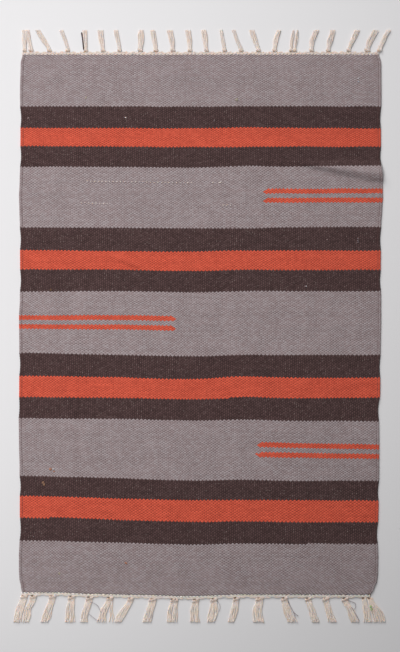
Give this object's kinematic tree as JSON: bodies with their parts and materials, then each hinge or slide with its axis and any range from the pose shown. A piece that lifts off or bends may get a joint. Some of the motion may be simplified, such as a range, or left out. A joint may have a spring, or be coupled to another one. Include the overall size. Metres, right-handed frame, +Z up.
{
  "type": "kilim rug",
  "caption": "Small striped flatweave rug, lying flat, with corded side edges, a ripple at one edge and a knotted fringe at each end.",
  "frame": {"origin": "on the floor under the middle of the whole rug with its fringes", "axes": "+X to the rug's right, +Y to its upper end, +Z up from the floor"},
  "size_m": [0.6206, 0.9798, 0.008],
  "materials": {
    "woven_yarn": "matte weft-faced weave in grey, dark brown and orange bands",
    "ecru_warp": "matte undyed warp yarn"
  },
  "bodies": {
    "root": {"woven_ground": "woven_yarn", "upper_fringe": "ecru_warp", "lower_fringe": "ecru_warp"}
  },
  "joints": []
}
